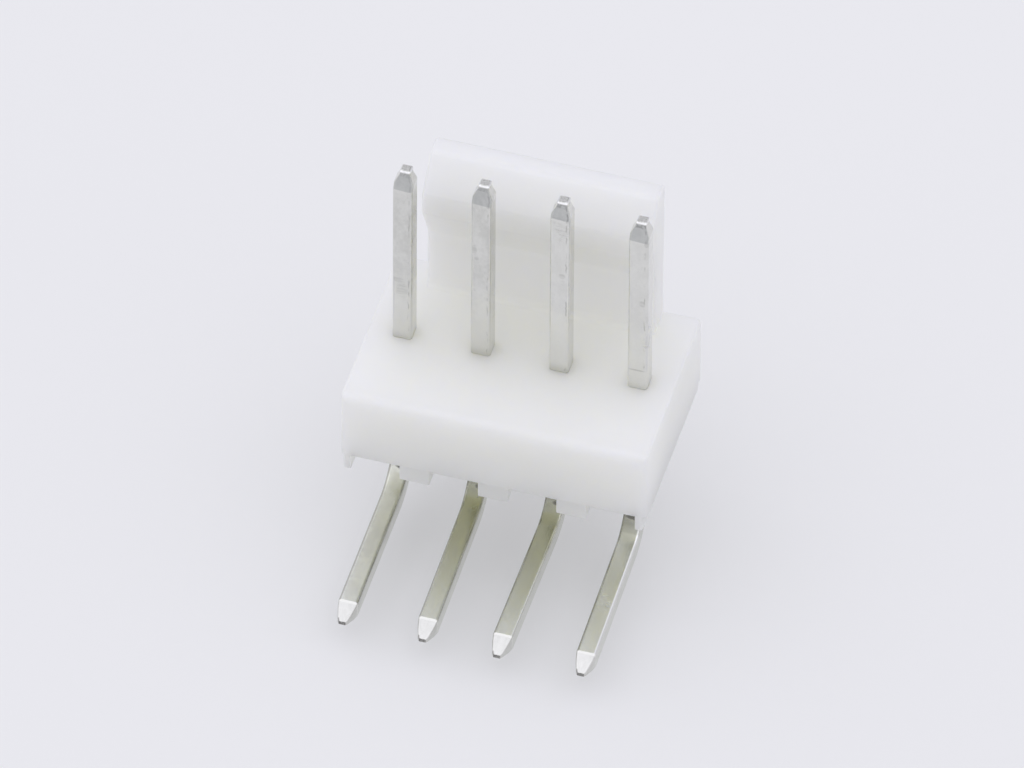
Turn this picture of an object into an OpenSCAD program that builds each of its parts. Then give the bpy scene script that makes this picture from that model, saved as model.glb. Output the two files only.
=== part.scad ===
// Right-angle pin header with a friction-lock wall, one row of square pins.
// The mating pins point up, the tails run to the front and the wall stands at the back.
// The origin is in the top face of the base, in the middle of the pin row. Sizes are in millimetres.

/* [Pin wire] */
// Distance from one pin to the next
pitch = 2.54; // [2:0.02:4]
// Width of the square wire
wire_w = 0.64; // [0.5:0.02:0.8]
// Rounding of the wire's long edges
wire_edge_r = 0.1; // [0.02:0.01:0.15]
// Height of the mating tips above the base
mating_l = 7.46; // [5:0.02:10]
// Depth of the tails' centre line below the top of the base
tail_drop = 6.27; // [5.4:0.01:8]
// Reach of the tail tips past the front of the base
tail_l = 3.66; // [2:0.02:5]
// Radius on the inside of the bend
bend_r = 1.2; // [0.4:0.05:1.6]

/* [Pin tips] */
// Length of the coined taper
taper_l = 0.57; // [0.3:0.01:1]
// Width of the cropped stub at the point
stub_w = 0.3; // [0.1:0.02:0.4]
// Length of the cropped stub
stub_l = 0.15; // [0.05:0.01:0.4]

/* [Base] */
// Reach of the base past the centre of the outer pins
base_end = 1.14; // [0.9:0.02:2]
// Reach of the base from the pin row to the front
base_front = 3.26; // [2.6:0.02:4]
// Reach of the base from the pin row to the back
base_back = 3.12; // [2.6:0.02:4]
// Thickness of the base above its feet
base_t = 2.62; // [2:0.02:4]
// Rounding of the upright corners of the base
base_corner_r = 0.2; // [0.05:0.05:0.4]
// Rounding of the front top edge
base_front_r = 0.3; // [0.1:0.05:0.8]
// Gap between a pin and its hole on each side
pin_gap = 0.01; // [0.005:0.005:0.04]

/* [Feet] */
// Height of the feet under the base
foot_h = 0.6; // [0.2:0.05:1.2]
// Width of the slots under the pins
slot_w = 1.57; // [1:0.01:1.8]
// Step from the ends of the base in to the end feet
foot_inset = 0.1; // [0:0.02:0.2]

/* [Lock wall] */
// Distance from the ends of the base to the ends of the wall
wall_inset = 1.25; // [0.4:0.01:2]
// Height of the wall above the base
wall_h = 5.72; // [4.5:0.02:7]
// Thickness of the wall below its nose
wall_t = 1; // [0.7:0.05:1.5]
// Depth of the flat top of the wall
wall_top_t = 0.7; // [0.3:0.05:1.2]
// Reach of the nose in front of the wall
nose_reach = 0.67; // [0.3:0.01:1]
// Height of the ramp from the top down to the nose
ramp_h = 1.05; // [0.5:0.05:1.5]
// Height of the upright face of the nose
nose_h = 0.8; // [0.4:0.05:1.2]
// Height of the slope under the nose
undercut_h = 1.45; // [0.8:0.05:1.8]
// Rounding of the back top edge
wall_edge_r = 0.12; // [0.05:0.01:0.3]
// Rounding along the ramp, the nose and the undercut
nose_r = 0.3; // [0.1:0.05:0.35]
// Fillet at the foot of the wall
wall_foot_r = 0.25; // [0.1:0.05:0.5]

/* [Hidden] */
NODES = ["housing", "pin_1", "pin_2", "pin_3", "pin_4"];
$fn = 48;
arc_steps = 8;

pin_count = len(NODES) - 1;
row_half = (pin_count - 1) * pitch / 2;
base_half = row_half + base_end;
base_depth = base_front + base_back;
wall_half = base_half - wall_inset;
wall_front = base_back - wall_t;
hole_w = wire_w + 2 * pin_gap;
tip_l = taper_l + stub_l;
bend_axis_r = bend_r + wire_w / 2;
tail_run = base_front + tail_l - bend_axis_r;
cut = 1;

nylon = [0.93, 0.93, 0.92];
tin = [0.76, 0.76, 0.73];

function pin_x(i) = (i - 1) * pitch - row_half;

// Points of an arc of radius r that rounds the corner b between the neighbours a and c
function corner_arc(a, b, c, r) =
    let (
        u = (a - b) / norm(a - b),
        v = (c - b) / norm(c - b),
        half = acos(u * v) / 2,
        centre = b + (u + v) / norm(u + v) * r / sin(half),
        from = b + u * r / tan(half) - centre,
        to = b + v * r / tan(half) - centre,
        start = atan2(from.y, from.x),
        turn = atan2(from.x * to.y - from.y * to.x, from * to)
    )
    [for (s = [0 : arc_steps])
        centre + r * [cos(start + turn * s / arc_steps), sin(start + turn * s / arc_steps)]];

// Outline with the corners [x, y, radius], each rounded by its own radius, or sharp at radius 0
function rounded_outline(corners) =
    let (n = len(corners), at = [for (c = corners) [c.x, c.y]])
    [for (i = [0 : n - 1], p = corners[i].z > 0
        ? corner_arc(at[(i + n - 1) % n], at[i], at[(i + 1) % n], corners[i].z)
        : [at[i]]) p];

// Draws a side outline, given in depth and height, along the row between -half and half
module along_row(half)
    rotate([90, 0, 90])
        translate([0, 0, -half])
            linear_extrude(2 * half)
                children();

// Rectangle centred on the origin with round corners
module round_rectangle(w, d, r) {
    square([w, d - 2 * r], center = true);
    square([w - 2 * r, d], center = true);
    for (sx = [-1, 1], sy = [-1, 1])
        translate([sx * (w / 2 - r), sy * (d / 2 - r)])
            circle(r);
}

// Plan of the base, drawn in by the given step at both ends
module base_plan(step)
    translate([0, (base_back - base_front) / 2])
        round_rectangle(2 * (base_half - step), base_depth, base_corner_r);

// Base on its feet, which stand back a little at both ends, with the front top edge rounded
module base()
    intersection() {
        union() {
            translate([0, 0, -base_t])
                linear_extrude(base_t)
                    base_plan(0);
            translate([0, 0, -base_t - foot_h])
                linear_extrude(foot_h + base_t / 2)
                    base_plan(foot_inset);
        }
        along_row(base_half + cut)
            polygon(rounded_outline([
                [-base_front, -base_t - foot_h - cut, 0],
                [base_back + cut, -base_t - foot_h - cut, 0],
                [base_back + cut, 0, 0],
                [-base_front, 0, base_front_r]]));
    }

// Slot across the underside at a pin, which parts the feet
module slot()
    translate([-slot_w / 2, -base_front - cut, -base_t - foot_h - cut])
        cube([slot_w, base_depth + 2 * cut, foot_h + cut]);

// Square hole through the base for a pin
module pin_hole()
    translate([0, 0, -base_t - cut])
        linear_extrude(base_t + 2 * cut)
            square(hole_w, center = true);

// Wall at the back with the ramp, the nose and the undercut that grip the plug
module lock_wall() {
    nose_front = wall_front - nose_reach;
    ramp_foot = wall_h - ramp_h;
    nose_foot = ramp_foot - nose_h;
    undercut_foot = nose_foot - undercut_h;
    along_row(wall_half)
        polygon(rounded_outline([
            [base_back, -base_t / 2, 0],
            [base_back, wall_h, wall_edge_r],
            [base_back - wall_top_t, wall_h, nose_r],
            [nose_front, ramp_foot, nose_r],
            [nose_front, nose_foot, nose_r],
            [wall_front, undercut_foot, nose_r],
            [wall_front, 0, wall_foot_r],
            [wall_front - 2 * wall_foot_r, 0, 0],
            [wall_front - 2 * wall_foot_r, -base_t / 2, 0]]));
}

module housing()
    color(nylon)
        difference() {
            union() {
                base();
                lock_wall();
            }
            for (i = [1 : pin_count])
                translate([pin_x(i), 0, 0]) {
                    slot();
                    pin_hole();
                }
        }

// Section of the square wire
module wire_section()
    round_rectangle(wire_w, wire_w, wire_edge_r);

// One side view of a straight stretch of wire that ends in a coined point
module pointed_outline(l)
    polygon([
        [-wire_w / 2, 0],
        [wire_w / 2, 0],
        [wire_w / 2, l - tip_l],
        [stub_w / 2, l - stub_l],
        [stub_w / 2, l],
        [-stub_w / 2, l],
        [-stub_w / 2, l - stub_l],
        [-wire_w / 2, l - tip_l]]);

// Straight wire along Z whose far end is coined to a point on four sides
module pointed_wire(l)
    intersection() {
        linear_extrude(l)
            wire_section();
        intersection_for (turn = [0, 90])
            rotate([90, 0, turn])
                translate([0, 0, -wire_w])
                    linear_extrude(2 * wire_w)
                        pointed_outline(l);
    }

// Quarter turn of the wire, from the foot of the upright stretch to the back of the tail
module bend()
    translate([0, -bend_axis_r, bend_axis_r - tail_drop])
        rotate([0, 90, 0])
            rotate_extrude(angle = 90)
                translate([bend_axis_r, 0])
                    wire_section();

module pin(i)
    color(tin)
        translate([pin_x(i), 0, 0]) {
            translate([0, 0, bend_axis_r - tail_drop])
                pointed_wire(mating_l + tail_drop - bend_axis_r);
            bend();
            translate([0, -bend_axis_r, -tail_drop])
                rotate([90, 0, 0])
                    pointed_wire(tail_run);
        }

housing();
for (i = [1 : pin_count])
    pin(i);
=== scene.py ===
import math

import bmesh
import bpy
from mathutils import Matrix, Vector


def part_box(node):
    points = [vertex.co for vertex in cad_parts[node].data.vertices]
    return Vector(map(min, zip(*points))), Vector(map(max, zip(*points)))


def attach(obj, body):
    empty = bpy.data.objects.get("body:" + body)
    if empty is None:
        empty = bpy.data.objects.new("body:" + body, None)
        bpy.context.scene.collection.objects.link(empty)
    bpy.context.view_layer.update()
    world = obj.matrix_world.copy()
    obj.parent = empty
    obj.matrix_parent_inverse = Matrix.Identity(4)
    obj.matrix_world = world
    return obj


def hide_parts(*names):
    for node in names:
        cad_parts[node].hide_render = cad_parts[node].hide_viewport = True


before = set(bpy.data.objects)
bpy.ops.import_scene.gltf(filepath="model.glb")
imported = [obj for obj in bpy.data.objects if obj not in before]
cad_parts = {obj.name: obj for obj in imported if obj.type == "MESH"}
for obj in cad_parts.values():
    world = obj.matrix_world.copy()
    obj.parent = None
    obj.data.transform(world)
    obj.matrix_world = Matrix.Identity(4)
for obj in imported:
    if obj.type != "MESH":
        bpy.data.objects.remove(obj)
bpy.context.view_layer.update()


# Housing: one moulding in natural white nylon, a base on five feet with a sprung lock wall along its back.
# The wall's nose snaps over the plug, the slots under the base clear the pins' bends, and the square holes
# close tight on the pins just inside their mouths. The outer edges keep the small radii of the mould.
mm = 0.001
base_low, wall_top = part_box("housing")
pin_boxes = [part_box(name) for name in sorted(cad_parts) if name.startswith("pin_")]
pin_places = [(low.x + high.x) / 2 for low, high in pin_boxes]
wire_w = pin_boxes[0][1].x - pin_boxes[0][0].x

base_end = wall_top.x
base_t = 2.62 * mm
foot_inset = 0.1 * mm
slot_w = 1.57 * mm
pin_gap = 0.01 * mm
hole_w = wire_w + 2 * pin_gap
mouth_depth = 0.015 * mm
front_edge_r = 0.3 * mm
side_edge_r = 0.1 * mm
under_edge_r = 0.05 * mm
upright_edge_r = 0.2 * mm
foot_edge_r = 0.05 * mm
slot_mouth_r = 0.04 * mm
end_foot_r = 0.1 * mm
seam_step = 0.01 * mm
weld_gap = 0.002 * mm
least_r = 0.001 * mm

wall_inset = 1.25 * mm
wall_end = base_end - wall_inset
wall_t = 1.0 * mm
wall_top_t = 0.7 * mm
nose_reach = 0.67 * mm
ramp_h = 1.05 * mm
nose_h = 0.8 * mm
undercut_h = 1.45 * mm
nose_r = 0.3 * mm
wall_edge_r = 0.12 * mm
wall_end_r = 0.1 * mm
wall_foot_r = 0.25 * mm


def ring(corners, inset, steps):
    """Outline of the corners (u, v, radius), drawn in from each edge by that edge's inset.

    Edge i runs from corner i to the next, and the corners run anticlockwise. Returns each point with
    the share of the second edge at its corner, so that a value can be blended round the corner.
    """
    spots = [Vector(corner[:2]) for corner in corners]
    along = [(spots[(i + 1) % len(spots)] - spot).normalized() for i, spot in enumerate(spots)]
    points = []
    for i, spot in enumerate(spots):
        first, second = along[i - 1], along[i]
        turn = math.atan2(first.x * second.y - first.y * second.x, first.dot(second))
        inward = [Vector((-edge.y, edge.x)) for edge in (first, second)]
        slide = (inset[i] - inset[i - 1] * math.cos(turn)) / math.sin(turn)
        corner = spot + inward[0] * inset[i - 1] + first * -slide
        radius = corners[i][2]
        if radius == 0:
            points.append((corner, i, 0.5))
            continue
        mean_inset = (inset[i - 1] + inset[i]) / 2
        radius = max(radius - math.copysign(mean_inset, turn), least_r)
        reach = radius * math.tan(abs(turn) / 2)
        centre = corner - first * reach + math.copysign(radius, turn) * inward[0]
        spoke = corner - first * reach - centre
        for step in range(steps + 1):
            share = step / steps
            points.append((centre + Matrix.Rotation(turn * share, 2) @ spoke, i, share))
    return points


def moulding(name, corners, place, near, far, steps=5):
    """Closed solid that carries an outline from near to far, with both ends rounded off.

    corners are (u, v, radius, near rounding, far rounding), where the two roundings are those of the edge
    that leaves the corner, at the solid's two ends. place turns (u, v, depth) into a point of the housing.
    """
    form = bmesh.new()
    rings = []
    for end, sign in ((near, 1), (far, -1)):
        radii = [corner[3 if end == near else 4] for corner in corners]
        stretch = []
        for step in range(steps + 1):
            slope = math.pi / 2 * step / steps
            inset = [radius * (1 - math.cos(slope)) for radius in radii]
            verts = []
            for spot, i, share in ring(corners, inset, steps):
                set_back = (radii[i - 1] * (1 - share) + radii[i] * share) * (1 - math.sin(slope))
                verts.append(form.verts.new(place(spot.x, spot.y, end + sign * set_back)))
            stretch.append(verts)
        rings += stretch if rings else stretch[::-1]
    for lower, upper in zip(rings, rings[1:]):
        for i in range(len(lower)):
            form.faces.new((lower[i - 1], lower[i], upper[i], upper[i - 1]))
    form.faces.new(rings[0])
    form.faces.new(rings[-1])
    bmesh.ops.remove_doubles(form, verts=form.verts, dist=weld_gap)
    bmesh.ops.recalc_face_normals(form, faces=form.faces)
    mesh = bpy.data.meshes.new(name)
    form.to_mesh(mesh)
    form.free()
    solid = bpy.data.objects.new(name, mesh)
    bpy.context.scene.collection.objects.link(solid)
    return solid


def settle(solid):
    """Works the modifiers into the solid's own mesh."""
    graph = bpy.context.evaluated_depsgraph_get()
    mesh = bpy.data.meshes.new_from_object(solid.evaluated_get(graph))
    solid.modifiers.clear()
    solid.data = mesh


def combine(solid, tool, operation):
    """Joins the tool to the solid or cuts it out of the solid, and removes the tool."""
    boolean = solid.modifiers.new(operation.lower(), "BOOLEAN")
    boolean.operation = operation
    boolean.solver = "EXACT"
    boolean.object = tool
    settle(solid)
    bpy.data.objects.remove(tool)


base_outline = [
    (-base_end, base_low.y, upright_edge_r, under_edge_r, front_edge_r),
    (base_end, base_low.y, upright_edge_r, under_edge_r, side_edge_r),
    (base_end, wall_top.y, upright_edge_r, under_edge_r, side_edge_r),
    (-base_end, wall_top.y, upright_edge_r, under_edge_r, side_edge_r),
]
housing = moulding("housing_moulding", base_outline, lambda u, v, depth: (u, v, depth), -base_t, 0, steps=8)

foot_end = base_end - foot_inset
foot_root = -base_t / 2
foot_sides = [-foot_end] + [x + side * slot_w / 2 for x in pin_places for side in (-1, 1)] + [foot_end]
for left, right in zip(foot_sides[::2], foot_sides[1::2]):
    left_r = end_foot_r if left == -foot_end else slot_mouth_r
    right_r = end_foot_r if right == foot_end else slot_mouth_r
    foot_outline = [
        (left, base_low.y + seam_step, left_r),
        (right, base_low.y + seam_step, right_r),
        (right, wall_top.y - seam_step, right_r),
        (left, wall_top.y - seam_step, left_r),
    ]
    foot = moulding(
        "foot", [(*corner, foot_edge_r, 0) for corner in foot_outline],
        lambda u, v, depth: (u, v, depth), base_low.z, foot_root)
    combine(housing, foot, "UNION")

wall_back = wall_top.y - seam_step
wall_front = wall_top.y - wall_t
nose_front = wall_front - nose_reach
ramp_foot = wall_top.z - ramp_h
nose_foot = ramp_foot - nose_h
wall_root = -base_t / 3
wall_outline = [
    (wall_front - 2 * wall_foot_r, wall_root, 0),
    (wall_back, wall_root, 0),
    (wall_back, wall_top.z, wall_edge_r),
    (wall_top.y - wall_top_t, wall_top.z, nose_r),
    (nose_front, ramp_foot, nose_r),
    (nose_front, nose_foot, nose_r),
    (wall_front, nose_foot - undercut_h, nose_r),
    (wall_front, 0, wall_foot_r),
    (wall_front - 2 * wall_foot_r, -seam_step, 0),
]
wall = moulding(
    "lock_wall", [(*corner, wall_end_r, wall_end_r) for corner in wall_outline],
    lambda u, v, depth: (depth, u, v), -wall_end, wall_end)
combine(housing, wall, "UNION")

hole_half = hole_w / 2
for x in pin_places:
    hole_outline = [
        (x - hole_half, -hole_half),
        (x + hole_half, -hole_half),
        (x + hole_half, hole_half),
        (x - hole_half, hole_half),
    ]
    for surface in (-base_t, 0):
        hole = moulding(
            "hole_mouth", [(*corner, 0, 0, 0) for corner in hole_outline],
            lambda u, v, depth: (u, v, depth), surface - mouth_depth, surface + mouth_depth, steps=1)
        combine(housing, hole, "DIFFERENCE")


def add(tree, kind, inputs=None, **settings):
    """Adds a node, sets its properties, and feeds its inputs with values or with other nodes' sockets."""
    node = tree.nodes.new(kind)
    for name, value in settings.items():
        setattr(node, name, value)
    for key, value in (inputs or {}).items():
        if isinstance(value, bpy.types.NodeSocket):
            tree.links.new(value, node.inputs[key])
        else:
            node.inputs[key].default_value = value
    return node


def new_material(name):
    """An empty node material with its Principled shader wired to the output."""
    material = bpy.data.materials.new(name)
    material.use_nodes = True
    tree = material.node_tree
    tree.nodes.clear()
    shader = add(tree, "ShaderNodeBsdfPrincipled")
    add(tree, "ShaderNodeOutputMaterial", {"Surface": shader.outputs["BSDF"]})
    return material, tree, shader


nylon_tints = (0.87, 0.87, 0.814, 1), (0.895, 0.895, 0.844, 1)
nylon_roughness = 0.38, 0.55
clouds_per_m, grains_per_m = 420, 9000
grain_depth = 0.01 * mm
grain_strength = 0.08
scatter_depth = 4.0 * mm
scatter_tint = (1.0, 0.97, 0.8)
nylon_ior = 1.53

nylon, tree, shader = new_material("natural_nylon")
place = add(tree, "ShaderNodeTexCoord").outputs["Object"]
clouds = add(tree, "ShaderNodeTexNoise", {"Vector": place, "Scale": clouds_per_m, "Detail": 3})
tint = add(tree, "ShaderNodeMix", {
    "Factor": clouds.outputs["Fac"], "A": nylon_tints[0], "B": nylon_tints[1]}, data_type="RGBA")
tree.links.new(tint.outputs["Result"], shader.inputs["Base Color"])
grain = add(tree, "ShaderNodeTexNoise", {"Vector": place, "Scale": grains_per_m, "Detail": 2})
gloss = add(tree, "ShaderNodeMapRange", {
    "Value": grain.outputs["Fac"], "To Min": nylon_roughness[0], "To Max": nylon_roughness[1]})
tree.links.new(gloss.outputs["Result"], shader.inputs["Roughness"])
skin = add(tree, "ShaderNodeBump", {
    "Strength": grain_strength, "Distance": grain_depth, "Height": grain.outputs["Fac"]})
tree.links.new(skin.outputs["Normal"], shader.inputs["Normal"])
shader.inputs["Subsurface Weight"].default_value = 1.0
shader.inputs["Subsurface Radius"].default_value = scatter_tint
shader.inputs["Subsurface Scale"].default_value = scatter_depth
shader.inputs["IOR"].default_value = nylon_ior

mould_edge_angle = math.radians(40)
housing.data.materials.clear()
housing.data.materials.append(nylon)
for face in housing.data.polygons:
    face.use_smooth = True
housing.data.set_sharp_from_angle(angle=mould_edge_angle)
flats = housing.modifiers.new("flat faces", "WEIGHTED_NORMAL")
flats.keep_sharp = True
settle(housing)
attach(housing, "root")
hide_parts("housing")


# Pins: four lengths of square brass wire with a bright tin plate, pressed through the base and then bent.
# Each is coined to a four-sided point at both ends and cropped from its strip there, which leaves a stub on
# the mating tip and a torn end on the tail. The plate is rubbed by plugs and worn along a front edge, and it
# carries painted shade, highlights and reflections on the points, the tails and where they meet the housing.
tip_lengths = (0.8 * mm, 0.8 * mm, 0.7 * mm, 0.8 * mm)
side_tip_l = 0.54 * mm
tail_tip_l = 0.72 * mm
stub_w = 0.35 * mm
stub_l = 0.14 * mm
stub_rim = 0.05 * mm
stub_shift = 0.04 * mm
torn_depth = 0.05 * mm
wire_edge_r = 0.1 * mm
bend_r = 1.52 * mm
tip_shortfalls = (0.1 * mm, 0, 0, 0.14 * mm)
tail_swings = (0, 0.07 * mm, -0.075 * mm, 0.12 * mm)
tail_reflections = (0.31, 0.89, 0.74, 0.0)

# Colours of the plate. Where there are two, they are the ends of a range: the left and the right pins, or
# the dark and the light of a cloudy patch. Some are painted shade, highlights and reflections, as said where
# they are laid.
upright_dull = (0.65, 0.65, 0.615, 1), (0.725, 0.725, 0.69, 1)
upright_dull_low = (0.72, 0.72, 0.69, 1), (0.75, 0.75, 0.72, 1)
upright_bright = (0.74, 0.74, 0.705, 1), (0.775, 0.775, 0.74, 1)
tail_dull = (0.80, 0.805, 0.755, 1), (0.87, 0.88, 0.81, 1)
tail_bright = (0.92, 0.93, 0.865, 1)
tail_side_shade = (0.45, 0.45, 0.42, 1)
tail_facet = (0.675, 0.675, 0.64, 1), (0.735, 0.735, 0.70, 1)
tail_facet_highlight = (0.80, 0.80, 0.755, 1)
torn_end_shadow = (0.24, 0.235, 0.22, 1), (0.55, 0.545, 0.52, 1)
tail_tip_shadow = (0.28, 0.275, 0.26, 1)
coined_facet_reflection = (0.47, 0.48, 0.47, 1), (0.53, 0.54, 0.525, 1)
coined_ridge = (0.26, 0.265, 0.25, 1)
stub_side = (0.86, 0.86, 0.84, 1)
stub_end = (0.54, 0.54, 0.51, 1), (0.72, 0.72, 0.69, 1)
olive_reflection = (0.50, 0.50, 0.32, 1)
edge_highlight = (0.97, 0.97, 0.95, 1)
edge_wear_and_reflection = (0.32, 0.32, 0.28, 1)
scuff_grey = (0.45, 0.45, 0.43, 1)
rub_grey = (0.42, 0.42, 0.39, 1)
scratch_grey = (0.36, 0.36, 0.33, 1)
base_mouth_shade = (0.40, 0.40, 0.33, 1)
slot_shade = (0.45, 0.45, 0.37, 1)
slot_ceiling_shade = (0.28, 0.28, 0.22, 1)
slot_spot_shade = (0.12, 0.12, 0.10, 1)

# Stretches of the wire, as distances from the mating tip. A finish starts at the first of the two and is
# full at the second.
mating_stretch = 3 * mm, 2 * mm
low_stretch = 3.5 * mm, 6.5 * mm
base_mouth, base_middle = (7.05 * mm, 7.45 * mm), (9 * mm, 8 * mm)
tail_stretch = 11 * mm, 13 * mm
bend_start, bend_end = (12 * mm, 13.2 * mm), (16.2 * mm, 14.8 * mm)
reflection_start, reflection_end = (13 * mm, 13.2 * mm), (18.7 * mm, 14.2 * mm)
slot_mouth = 13.92 * mm, 13.8 * mm
slot_depth = 13.8 * mm, 13.3 * mm

# Marks on the fronts of the pins, in millimetres: place along the row, place along the wire from the mating
# tip, half the width and half the length.
rub_marks = (
    (-3.92, 4.75, 0.22, 0.16), (-3.80, 5.2, 0.26, 0.4), (-1.47, 2.8, 0.1, 0.3), (-1.40, 3.15, 0.1, 0.12),
    (-1.47, 4.6, 0.06, 0.08), (1.36, 3.15, 0.14, 0.14), (3.95, 3.5, 0.13, 0.18), (-1.01, 0.76, 0.1, 0.1),
    (1.53, 0.72, 0.1, 0.1), (4.07, 0.82, 0.1, 0.14))
scratch_marks = ((3.80, 6.52, 0.34, 0.045),)
# Spots of painted shade where the tails leave the slots.
slot_shade_marks = (
    (-3.70, 13.2, 0.24, 0.12), (-1.14, 13.42, 0.2, 0.13), (1.38, 13.42, 0.2, 0.13), (3.85, 13.2, 0.36, 0.12))

tin, tree, shader = new_material("bright_tin")
place = add(tree, "ShaderNodeAttribute", attribute_name="wire_place").outputs["Vector"]
own_place = add(tree, "ShaderNodeAttribute", attribute_name="wire_grain").outputs["Vector"]
tip_share = add(tree, "ShaderNodeAttribute", attribute_name="tip_share").outputs["Fac"]


def tin_math(operation, a, b=0.0):
    """Output of a Math node of the tin on two sockets or numbers."""
    return add(tree, "ShaderNodeMath", {0: a, 1: b}, operation=operation).outputs[0]


def tin_step(value, low, high):
    """Share that rises smoothly from 0 to 1 as the value goes from low to high."""
    return add(tree, "ShaderNodeMapRange", {"Value": value, "From Min": low, "From Max": high},
               interpolation_type="SMOOTHSTEP").outputs["Result"]


def tin_noise(stretch, detail):
    """Noise of so many grains a millimetre along each direction of the wire, different on each pin."""
    where = add(tree, "ShaderNodeVectorMath", {0: own_place, 1: stretch}, operation="MULTIPLY").outputs[0]
    return add(tree, "ShaderNodeTexNoise", {"Vector": where, "Scale": 1.0, "Detail": detail}).outputs["Fac"]


def tin_layer(share, below, colour):
    """Colour with another one laid over it by a share."""
    mix = add(tree, "ShaderNodeMix", {"Factor": share, "A": below, "B": colour}, data_type="RGBA")
    return mix.outputs["Result"]


def tin_all(*shares):
    """Product of several shares: the share of the places where all of them hold."""
    product = shares[0]
    for share in shares[1:]:
        product = tin_math("MULTIPLY", product, share)
    return product


def tin_marks(marks):
    """Share of soft oval marks at their places on the pins."""
    shares = 0.0
    for row_place, along_place, half_w, half_l in marks:
        where = add(tree, "ShaderNodeVectorMath", {
            0: own_place, 1: (row_place, 0, along_place)}, operation="SUBTRACT").outputs[0]
        where = add(tree, "ShaderNodeVectorMath", {
            0: where, 1: (1 / half_w, 0, 1 / half_l)}, operation="MULTIPLY").outputs[0]
        off = add(tree, "ShaderNodeVectorMath", {0: where}, operation="LENGTH").outputs["Value"]
        shares = tin_math("MAXIMUM", shares, tin_step(off, 1, 0.5))
    return shares


across = add(tree, "ShaderNodeSeparateXYZ", {0: place}).outputs
row = add(tree, "ShaderNodeSeparateXYZ", {0: own_place}).outputs["X"]
along = across["Z"]
front_half = tin_math("GREATER_THAN", across["Y"], 0.0)
front_lead = tin_math("SUBTRACT", across["Y"], tin_math("ABSOLUTE", across["X"]))
front_side = tin_math("GREATER_THAN", front_lead, 0.0)
mating_end = tin_step(along, *mating_stretch)
on_tail = tin_step(along, *tail_stretch)
off_tail = tin_math("SUBTRACT", 1.0, on_tail)
shank = tin_step(tip_share, 0.03, 0)
coined = tin_step(tip_share, 0, 0.03)
right_pins = tin_step(row, -1, 1)

# The plate itself is cloudy, dullest high on the left pins and brightest on the tails.
mottle = tin_noise((2.2, 2.2, 1.6), 5)
speckle = tin_noise((9, 9, 6), 4)
tone = tin_math("ADD", tin_math("MULTIPLY", mottle, 0.6), tin_math("MULTIPLY", speckle, 0.4))
tone = tin_step(tone, 0.35, 0.65)
dull = tin_layer(
    tin_step(along, *low_stretch), tin_layer(right_pins, *upright_dull),
    tin_layer(right_pins, *upright_dull_low))
tint = tin_layer(tone, dull, tin_layer(right_pins, *upright_bright))
tint = tin_layer(on_tail, tint, tin_layer(tone, *tail_facet))
# Painted highlight: the tails' facets are lighter next to the shank.
facet_highlight = tin_all(tin_step(tip_share, 0.16, 0.06), coined, on_tail)
tint = tin_layer(facet_highlight, tint, tail_facet_highlight)
clean_tail = tin_layer(tone, tin_layer(tin_step(row, -3, -1), *tail_dull), tail_bright)
tint = tin_layer(tin_all(on_tail, shank), tint, clean_tail)

# A painted olive reflection of the housing's shaded, yellowish underside runs down the tops of the tails
# from where they leave the slots, fainter inside them.
reflection = add(tree, "ShaderNodeAttribute", attribute_name="tail_reflection").outputs["Fac"]
faint_in_slot = add(tree, "ShaderNodeMapRange", {
    "Value": along, "From Min": slot_mouth[0], "From Max": slot_mouth[1], "To Min": 1.0, "To Max": 0.7})
reflection_run = tin_all(tin_step(along, *reflection_start), tin_step(along, *reflection_end))
top_face = tin_step(across["Y"], 0.2 * mm, 0.26 * mm)
reflection = tin_all(reflection, faint_in_slot.outputs["Result"], reflection_run, top_face)
tint = tin_layer(reflection, tint, olive_reflection)

# The tails' upper edges carry painted reflections: dark on the left, and on the right from dark at pin 1 to
# a painted highlight at pin 4. Their right sides are darkened with painted shade.
edge_in, edge_out = 0.22 * mm, 0.26 * mm
left_edge = tin_step(across["X"], -edge_in, -edge_out)
right_edge = tin_step(across["X"], edge_in, edge_out)
top_edge = tin_step(across["Y"], 0.2 * mm, 0.24 * mm)
right_edge_highlight = tin_all(right_edge, tin_step(row, 0.5, 3.5))
tint = tin_layer(tin_all(right_edge_highlight, top_edge, on_tail, shank), tint, edge_highlight)
dark_edge_reflection = tin_math("ADD", left_edge, tin_all(right_edge, tin_step(row, 0.5, -1.5), 0.75))
tint = tin_layer(tin_all(dark_edge_reflection, top_edge, on_tail, shank, 0.58), tint, edge_wear_and_reflection)
# Painted shade on the tails' right sides.
right_side_shade = tin_step(across["X"], 0.27 * mm, 0.3 * mm)
tint = tin_layer(tin_all(right_side_shade, on_tail, shank, 0.38), tint, tail_side_shade)

# Above the base, a broken line is worn along the right front edge. Plugs have rubbed the fronts and left
# a scratch on pin 4.
line_half = 0.034 * mm
line_place = wire_w / 2 - wire_edge_r
waver = tin_math("MULTIPLY", tin_noise((1, 1, 5), 4), 0.1 * mm)
off_line = tin_math("SUBTRACT", tin_math("ADD", across["X"], waver), line_place + 0.05 * mm)
on_line = tin_step(tin_math("ABSOLUTE", off_line), line_half, 0)
broken = tin_step(tin_noise((7, 7, 2.4), 5), 0.5, 0.62)
tint = tin_layer(tin_all(on_line, front_half, off_tail, broken, shank, 0.55), tint, edge_wear_and_reflection)
scuffed = tin_step(tin_noise((1.6, 1.6, 0.7), 2), 0.6, 0.68)
rubbed = tin_step(tin_noise((2, 2, 14), 3), 0.4, 0.65)
scuff = tin_all(scuffed, rubbed)
tint = tin_layer(tin_all(scuff, off_tail, 0.25), tint, scuff_grey)
patchy = tin_step(tin_noise((1.5, 1.5, 13), 3), 0.25, 0.65)
tint = tin_layer(tin_all(tin_marks(rub_marks), front_half, patchy, 0.38), tint, rub_grey)
tint = tin_layer(tin_all(tin_marks(scratch_marks), front_half, 0.45), tint, scratch_grey)
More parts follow.
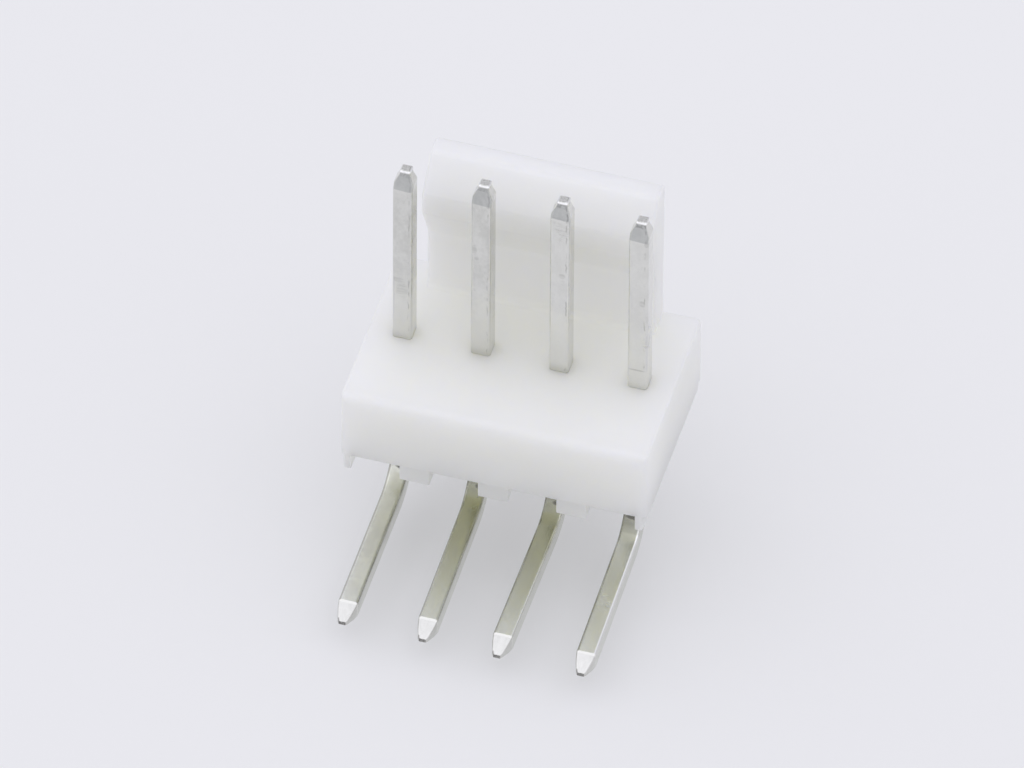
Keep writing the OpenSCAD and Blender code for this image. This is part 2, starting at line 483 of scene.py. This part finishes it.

# Painted shade darkens the tails under the slots, and the pins where they enter the base.
in_slot = tin_all(tin_step(along, *slot_mouth), on_tail, top_face, tin_step(row, -3, -1))
tint = tin_layer(tin_all(in_slot, 0.4), tint, slot_shade)
# Deeper under the slot, a painted shadow of its ceiling darkens the tails further.
under_slot_ceiling = tin_all(tin_step(along, *slot_depth), on_tail, front_half, tin_step(row, -4.5, -1))
tint = tin_layer(tin_all(under_slot_ceiling, 0.7), tint, slot_ceiling_shade)
# Painted shade where the pins enter the base.
at_base_mouth = tin_all(tin_step(along, *base_mouth), tin_step(along, *base_middle))
tint = tin_layer(tin_all(at_base_mouth, 0.3), tint, base_mouth_shade)
# Painted spots of shade at the tops of the tails by the slots' edges.
tint = tin_layer(tin_all(tin_marks(slot_shade_marks), front_half, 0.8), tint, slot_spot_shade)

# The mating points have dull coined fronts, darker still with a painted reflection of the dim room in front,
# a chipped right ridge and a bright stub with a sheared end.
tint = tin_layer(tin_all(coined, front_side, mating_end, 0.75), tint, tin_layer(tone, *coined_facet_reflection))
off_ridge = tin_math("ABSOLUTE", tin_math("SUBTRACT", across["X"], line_place + 0.02 * mm))
ridge = tin_all(tin_step(off_ridge, 0.05 * mm, 0.01 * mm), front_half)
ridge = tin_math("MAXIMUM", ridge, tin_all(tin_step(tip_share, 0.86, 0.94), front_side))
ridge = tin_all(ridge, mating_end, tin_step(tip_share, 0.0, 0.06), tin_step(tip_share, 1.05, 1.0))
chipped = tin_step(tin_noise((9, 9, 7), 3), 0.36, 0.56)
ridge_share = tin_math("ADD", tin_math("MULTIPLY", tin_step(row, -4, 4), 0.3), 0.3)
tint = tin_layer(tin_all(ridge, chipped, ridge_share), tint, coined_ridge)
cropped = tin_step(tip_share, 1.02, 1.1)
tint = tin_layer(tin_all(cropped, mating_end), tint, stub_side)
sheared = tin_step(tip_share, 1.75, 1.9)
sheared_tone = tin_layer(tin_step(speckle, 0.4, 0.6), *stub_end)
tint = tin_layer(tin_all(sheared, mating_end), tint, sheared_tone)

# The tail points end in torn metal, darkened with painted shadow, and a painted shadow darkens their left
# edge just behind the end.
torn_end = tin_all(cropped, tin_math("SUBTRACT", 1.0, mating_end))
torn_shadow_tone = tin_layer(tin_step(tin_noise((7, 7, 7), 2), 0.4, 0.6), *torn_end_shadow)
tint = tin_layer(torn_end, tint, torn_shadow_tone)
left_tip_shadow = tin_all(tin_step(tip_share, 0.84, 0.92), tin_step(across["X"], -0.2 * mm, -0.26 * mm))
tint = tin_layer(tin_all(left_tip_shadow, front_half, on_tail, 0.8), tint, tail_tip_shadow)
tree.links.new(tint, shader.inputs["Base Color"])

# The plate is glossy and drawn along the wire, and duller where it is scuffed, bent or torn.
plate_roughness = 0.2, 0.13
bend_roughness = 0.255
skin_depth = 0.02 * mm
gloss = add(tree, "ShaderNodeMapRange", {
    "Value": mottle, "From Min": 0.3, "From Max": 0.7,
    "To Min": plate_roughness[0], "To Max": plate_roughness[1]}).outputs["Result"]
gloss = tin_math("ADD", gloss, tin_math("MULTIPLY", scuff, 0.15))
gloss = tin_math("ADD", gloss, tin_math("MULTIPLY", torn_end, 0.4))
bent = tin_all(tin_step(along, *bend_start), tin_step(along, *bend_end))
gloss = tin_math("MAXIMUM", gloss, tin_math("MULTIPLY", bent, bend_roughness))
tree.links.new(gloss, shader.inputs["Roughness"])
drawn = tin_math("MULTIPLY", tin_noise((22, 22, 0.8), 2), 0.06)
torn = tin_all(torn_end, tin_noise((14, 14, 14), 3))
relief = tin_math("ADD", drawn, torn)
skin = add(tree, "ShaderNodeBump", {"Strength": 1.0, "Distance": skin_depth, "Height": relief})
tree.links.new(skin.outputs["Normal"], shader.inputs["Normal"])
shader.inputs["Metallic"].default_value = 1.0

wire = bpy.data.node_groups.new("bent_wire", "GeometryNodeTree")
wire.interface.new_socket("Geometry", in_out="OUTPUT", socket_type="NodeSocketGeometry")
wire_inputs = {}
for name in ("Row place", "Tip height", "Tail depth", "Tail reach", "Tail swing", "Tail reflection", "Wire width",
             "Edge radius", "Bend radius", "Tip length", "Side tip length", "Stub width", "Stub length",
             "Stub rim", "Stub shift", "Tail tip length", "Torn depth"):
    wire_inputs[name] = wire.interface.new_socket(name, in_out="INPUT", socket_type="NodeSocketFloat")
wire_inputs["Finish"] = wire.interface.new_socket("Finish", in_out="INPUT", socket_type="NodeSocketMaterial")
given = add(wire, "NodeGroupInput").outputs


def reckon(operation, a, b):
    """Output of a Math node of the wire on two sockets or numbers."""
    return add(wire, "ShaderNodeMath", {0: a, 1: b}, operation=operation).outputs[0]


def upright_station(set_back, shift=0.0):
    """Point of the wire's path on the mating end, so far below the tip."""
    return add(wire, "ShaderNodeCombineXYZ", {
        "X": reckon("ADD", given["Row place"], shift),
        "Z": reckon("SUBTRACT", given["Tip height"], set_back)}).outputs[0]


def tail_station(set_back):
    """Point of the wire's path on the tail, so far behind its tip."""
    return add(wire, "ShaderNodeCombineXYZ", {
        "X": given["Row place"],
        "Y": reckon("SUBTRACT", set_back, given["Tail reach"]),
        "Z": reckon("MULTIPLY", given["Tail depth"], -1)}).outputs[0]


stub_share = reckon("DIVIDE", given["Stub width"], given["Wire width"])
rim_share = 0.68
side_lag = reckon("DIVIDE", reckon("SUBTRACT", given["Tip length"], given["Side tip length"]),
                  reckon("SUBTRACT", given["Tip length"], given["Stub length"]))
side_spare = reckon("MULTIPLY", side_lag, reckon("SUBTRACT", 1.0, stub_share))
side_start = upright_station(given["Side tip length"], reckon("MULTIPLY", side_lag, given["Stub shift"]))

# Each point of the path has its place, the wire's thickness there, how much wider than thick the wire is,
# and its tip share: 0 along the shank, up to 1 along the coined point, and more on the stub or the torn end.
# A point of the tail's tip gives its place as a share of the tip's length behind the end.
tail_tip = (
    (1.0, 1.0, 0.0, 0.0), (0.62, 0.74, 0.1, 0.4), (0.35, 0.48, 0.18, 0.7), (0.14, 0.31, 0.2, 0.93),
    (0.04, 0.22, 0.15, 1.0), (0.0, 0.14, 0.1, 2.0))
stations = [
    (upright_station(0, given["Stub shift"]), reckon("MULTIPLY", stub_share, rim_share), 0.0, 2.0),
    (upright_station(given["Stub rim"], given["Stub shift"]), stub_share, 0.0, 1.6),
    (upright_station(given["Stub length"], given["Stub shift"]), stub_share, 0.0, 1.0),
    (side_start, reckon("SUBTRACT", 1.0, side_spare), side_spare, side_lag),
    (upright_station(given["Tip length"]), 1.0, 0.0, 0.0),
    (tail_station(given["Tail reach"]), 1.0, 0.0, 0.0),
]
for back_share, thickness, spread, tail_tip_share in tail_tip:
    spot = tail_station(reckon("MULTIPLY", given["Tail tip length"], back_share))
    stations.append((spot, thickness, spread, tail_tip_share))


def by_station(data_type, values):
    """Output of an Index Switch that gives each point of the path its own value."""
    switch = add(wire, "GeometryNodeIndexSwitch", data_type=data_type)
    while len(switch.index_switch_items) < len(values):
        switch.index_switch_items.new()
    wire.links.new(add(wire, "GeometryNodeInputIndex").outputs[0], switch.inputs["Index"])
    for i, value in enumerate(values):
        socket = switch.inputs[i + 1]
        if isinstance(value, bpy.types.NodeSocket):
            wire.links.new(value, socket)
        else:
            socket.default_value = value
    return switch.outputs[0]


bend_steps = 16
edge_steps = 10
seam_gap = 0.001 * mm
spots, widths, spreads, tip_shares = zip(*stations)
line = add(wire, "GeometryNodeMeshLine", {"Count": len(stations)})
line = add(wire, "GeometryNodeSetPosition", {
    "Geometry": line.outputs["Mesh"], "Position": by_station("VECTOR", spots)})
line = add(wire, "GeometryNodeStoreNamedAttribute", {
    "Geometry": line.outputs["Geometry"], "Name": "radius", "Value": by_station("FLOAT", widths)})
line = add(wire, "GeometryNodeStoreNamedAttribute", {
    "Geometry": line.outputs["Geometry"], "Name": "tip_share", "Value": by_station("FLOAT", tip_shares)})
line = add(wire, "GeometryNodeStoreNamedAttribute", {
    "Geometry": line.outputs["Geometry"], "Name": "tip_spread", "Value": by_station("FLOAT", spreads)})
path = add(wire, "GeometryNodeMeshToCurve", {"Mesh": line.outputs["Geometry"]})
path = add(wire, "GeometryNodeFilletCurve", {
    "Curve": path.outputs["Curve"], "Radius": given["Bend radius"], "Count": bend_steps}, mode="POLY")
lengthwise = add(wire, "GeometryNodeCaptureAttribute", {"Geometry": path.outputs["Curve"]})
lengthwise.capture_items.new("FLOAT", "along")
wire.links.new(add(wire, "GeometryNodeSplineParameter").outputs["Length"], lengthwise.inputs["along"])
section = add(wire, "GeometryNodeCurvePrimitiveQuadrilateral", {
    "Width": given["Wire width"], "Height": given["Wire width"]})
section = add(wire, "GeometryNodeFilletCurve", {
    "Curve": section.outputs["Curve"], "Radius": given["Edge radius"], "Count": edge_steps}, mode="POLY")
crosswise = add(wire, "GeometryNodeCaptureAttribute", {"Geometry": section.outputs["Curve"]})
crosswise.capture_items.new("VECTOR", "across")
wire.links.new(add(wire, "GeometryNodeInputPosition").outputs[0], crosswise.inputs["across"])
width_here = add(wire, "GeometryNodeInputNamedAttribute", {"Name": "radius"}, data_type="FLOAT")
body = add(wire, "GeometryNodeCurveToMesh", {
    "Curve": lengthwise.outputs["Geometry"], "Profile Curve": crosswise.outputs["Geometry"],
    "Scale": width_here.outputs["Attribute"], "Fill Caps": True})
side = add(wire, "ShaderNodeSeparateXYZ", {0: crosswise.outputs["across"]})
spot = add(wire, "ShaderNodeCombineXYZ", {
    "X": side.outputs["X"], "Y": side.outputs["Y"], "Z": lengthwise.outputs["along"]})
body = add(wire, "GeometryNodeStoreNamedAttribute", {
    "Geometry": body.outputs["Mesh"], "Name": "wire_place", "Value": spot.outputs[0]},
    data_type="FLOAT_VECTOR")
own_spot = add(wire, "ShaderNodeCombineXYZ", {"X": given["Row place"]})
own_spot = add(wire, "ShaderNodeVectorMath", {0: spot.outputs[0], 1: own_spot.outputs[0]}, operation="ADD")
own_spot = add(wire, "ShaderNodeVectorMath", {0: own_spot.outputs[0], "Scale": 1 / mm}, operation="SCALE")
body = add(wire, "GeometryNodeStoreNamedAttribute", {
    "Geometry": body.outputs["Geometry"], "Name": "wire_grain", "Value": own_spot.outputs[0]},
    data_type="FLOAT_VECTOR")
body = add(wire, "GeometryNodeStoreNamedAttribute", {
    "Geometry": body.outputs["Geometry"], "Name": "tail_reflection", "Value": given["Tail reflection"]})
body = add(wire, "GeometryNodeMergeByDistance", {
    "Geometry": body.outputs["Geometry"], "Distance": seam_gap})

# Sideways, the points are spread and the tails swung. The torn ends are roughened.
stub_from = 1.3
torn_grains = 5.0
here = add(wire, "ShaderNodeSeparateXYZ", {0: add(wire, "GeometryNodeInputPosition").outputs[0]})
forward = reckon("MULTIPLY", here.outputs["Y"], -1)
past_upright = reckon("MAXIMUM", reckon("SUBTRACT", forward, given["Wire width"]), 0)
at_spread = add(wire, "GeometryNodeInputNamedAttribute", {"Name": "tip_spread"}, data_type="FLOAT")
widened = reckon("MULTIPLY", side.outputs["X"], at_spread.outputs["Attribute"])
swung = reckon("MULTIPLY", given["Tail swing"], reckon("DIVIDE", past_upright, given["Tail reach"]))
sideways = add(wire, "ShaderNodeCombineXYZ", {"X": reckon("ADD", widened, swung)})
body = add(wire, "GeometryNodeSetPosition", {
    "Geometry": body.outputs["Geometry"], "Offset": sideways.outputs[0]})
at_stub = add(wire, "GeometryNodeInputNamedAttribute", {"Name": "tip_share"}, data_type="FLOAT")
at_torn_end = reckon("MULTIPLY", reckon("GREATER_THAN", at_stub.outputs["Attribute"], stub_from),
                     reckon("GREATER_THAN", past_upright, 0))
rough = add(wire, "ShaderNodeTexNoise", {"Vector": own_spot.outputs[0], "Scale": torn_grains, "Detail": 1.0})
rough = add(wire, "ShaderNodeVectorMath", {
    0: rough.outputs["Color"], 1: (2, 1, 2), 2: (-1, 0, -1)}, operation="MULTIPLY_ADD")
rough = add(wire, "ShaderNodeVectorMath", {
    0: rough.outputs[0], "Scale": reckon("MULTIPLY", at_torn_end, given["Torn depth"])}, operation="SCALE")
body = add(wire, "GeometryNodeSetPosition", {
    "Geometry": body.outputs["Geometry"], "Offset": rough.outputs[0]})
body = add(wire, "GeometryNodeRealizeInstances", {"Geometry": body.outputs["Geometry"]})
body = add(wire, "GeometryNodeSetMaterial", {
    "Geometry": body.outputs["Geometry"], "Material": given["Finish"]})
add(wire, "NodeGroupOutput", {"Geometry": body.outputs["Geometry"]})

facet_angle = math.radians(11.5)
pin_traits = zip(pin_boxes, tip_lengths, tip_shortfalls, tail_swings, tail_reflections)
for number, ((low, high), tip_l, shortfall, swing, reflected) in enumerate(pin_traits, 1):
    pin = bpy.data.objects.new(f"pin_wire_{number}", bpy.data.meshes.new(f"pin_wire_{number}"))
    bpy.context.scene.collection.objects.link(pin)
    bending = pin.modifiers.new("bent wire", "NODES")
    bending.node_group = wire
    for name, value in {
        "Row place": (low.x + high.x) / 2,
        "Tip height": high.z - shortfall,
        "Tail depth": -low.z - wire_w / 2,
        "Tail reach": -low.y,
        "Tail swing": swing,
        "Tail reflection": reflected,
        "Wire width": wire_w,
        "Edge radius": wire_edge_r,
        "Bend radius": bend_r,
        "Tip length": tip_l,
        "Side tip length": side_tip_l,
        "Stub width": stub_w,
        "Stub length": stub_l,
        "Stub rim": stub_rim,
        "Stub shift": stub_shift,
        "Tail tip length": tail_tip_l,
        "Torn depth": torn_depth,
        "Finish": tin,
    }.items():
        bending[wire_inputs[name].identifier] = value
    settle(pin)
    for face in pin.data.polygons:
        face.use_smooth = True
    pin.data.set_sharp_from_angle(angle=facet_angle)
    flats = pin.modifiers.new("flat faces", "WEIGHTED_NORMAL")
    flats.keep_sharp = True
    settle(pin)
    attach(pin, "root")
    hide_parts(f"pin_{number}")


# Stage: a pale matt floor just under the tails, in a studio whose ceiling is bright and even, and whose
# walls are dim, most of all towards the front. The camera stands where the photograph was taken from.
floor_gap = 0.8 * mm
floor_half = 400 * mm
floor_z = min(low.z for low, high in pin_boxes) - floor_gap
pale = (0.85, 0.85, 0.84, 1)
pale_in_bounce = (0.77, 0.77, 0.745, 1)
paper_glow = (0.80, 0.80, 0.845, 1)
glow_share = 0.22
paper_roughness = 0.9
paper_shine = 0.1
floor_mesh = bpy.data.meshes.new("floor")
floor_mesh.from_pydata(
    [(-floor_half, -floor_half, floor_z), (floor_half, -floor_half, floor_z),
     (floor_half, floor_half, floor_z), (-floor_half, floor_half, floor_z)], [], [(0, 1, 2, 3)])
floor = bpy.data.objects.new("floor", floor_mesh)
bpy.context.scene.collection.objects.link(floor)
paper, tree, shader = new_material("pale_paper")
shader.inputs["Roughness"].default_value = paper_roughness
shader.inputs["Specular IOR Level"].default_value = paper_shine
ray = add(tree, "ShaderNodeLightPath").outputs
seen = add(tree, "ShaderNodeMath", {0: ray["Is Camera Ray"], 1: ray["Is Glossy Ray"]}, operation="ADD")
seen = add(tree, "ShaderNodeMath", {0: seen.outputs[0], 1: ray["Is Transmission Ray"]}, operation="MAXIMUM")
paper_tint = add(tree, "ShaderNodeMix", {
    "Factor": seen.outputs[0], "A": pale_in_bounce, "B": pale}, data_type="RGBA")
tree.links.new(paper_tint.outputs["Result"], shader.inputs["Base Color"])
lift = add(tree, "ShaderNodeMath", {0: seen.outputs[0], 1: glow_share}, operation="MULTIPLY")
glow = add(tree, "ShaderNodeEmission", {"Color": paper_glow, "Strength": 1.0})
surface = add(tree, "ShaderNodeMixShader", {
    0: lift.outputs[0], 1: shader.outputs["BSDF"], 2: glow.outputs["Emission"]})
tree.links.new(surface.outputs[0], tree.nodes["Material Output"].inputs["Surface"])
floor.data.materials.append(paper)

# The light from a direction is a level plus its dot product with a slope, which leans with the direction.
room_tint = (0.985, 0.985, 1.058, 1)
room_slope = (-0.05, 0.335, 1.25)
room_lean = (0.525, -0.78, -0.15)
room_level = 0.085
dimmest = 0.03
ground_tint = (0.81, 0.812, 0.857, 1)
horizon = -0.05
world = bpy.data.worlds.new("studio")
bpy.context.scene.world = world
world.use_nodes = True
tree = world.node_tree
tree.nodes.clear()
direction = add(tree, "ShaderNodeTexCoord").outputs["Generated"]
part = add(tree, "ShaderNodeSeparateXYZ", {0: direction}).outputs
leaning = add(tree, "ShaderNodeCombineXYZ", {"X": part["X"], "Y": part["Z"], "Z": part["Z"]})
slope = add(tree, "ShaderNodeVectorMath", {
    0: leaning.outputs[0], 1: room_lean, 2: room_slope}, operation="MULTIPLY_ADD")
rise = add(tree, "ShaderNodeVectorMath", {0: direction, 1: slope.outputs[0]}, operation="DOT_PRODUCT")
level = add(tree, "ShaderNodeMath", {0: rise.outputs["Value"], 1: room_level}, operation="ADD")
level = add(tree, "ShaderNodeMath", {0: level.outputs[0], 1: dimmest}, operation="MAXIMUM")
room = add(tree, "ShaderNodeBackground", {"Color": room_tint, "Strength": level.outputs[0]})
ground = add(tree, "ShaderNodeBackground", {"Color": ground_tint, "Strength": 1.0})
above = add(tree, "ShaderNodeMath", {0: part["Z"], 1: horizon}, operation="GREATER_THAN")
around = add(tree, "ShaderNodeMixShader", {0: above.outputs[0], 1: ground.outputs[0], 2: room.outputs[0]})
add(tree, "ShaderNodeOutputWorld", {"Surface": around.outputs[0]})

image_w, image_h = 1024, 768
origin_px = Vector((522.06, 355.75))
px_per_mm = 32.126
azimuth = math.radians(15.86)
elevation = math.radians(46.7)
roll = math.radians(0.4)
camera_distance = 1000 * mm
sensor_w = 36

level_reach = math.cos(elevation)
back = Vector((math.sin(azimuth) * level_reach, -math.cos(azimuth) * level_reach, math.sin(elevation)))
level_right = Vector((math.cos(azimuth), math.sin(azimuth), 0))
level_up = back.cross(level_right)
right = level_right * math.cos(roll) + level_up * math.sin(roll)
up = back.cross(right)
aim = (right * (image_w / 2 - origin_px.x) - up * (image_h / 2 - origin_px.y)) * mm / px_per_mm
lens = bpy.data.cameras.new("camera")
lens.sensor_width = sensor_w
lens.lens = px_per_mm * camera_distance / mm * sensor_w / image_w
lens.clip_start = 0.1
lens.clip_end = 10
camera = bpy.data.objects.new("camera", lens)
turned = Matrix((right, up, back)).transposed().to_4x4()
camera.matrix_world = Matrix.Translation(aim + back * camera_distance) @ turned
bpy.context.scene.collection.objects.link(camera)
bpy.context.scene.camera = camera
bpy.context.scene.view_settings.view_transform = "Standard"
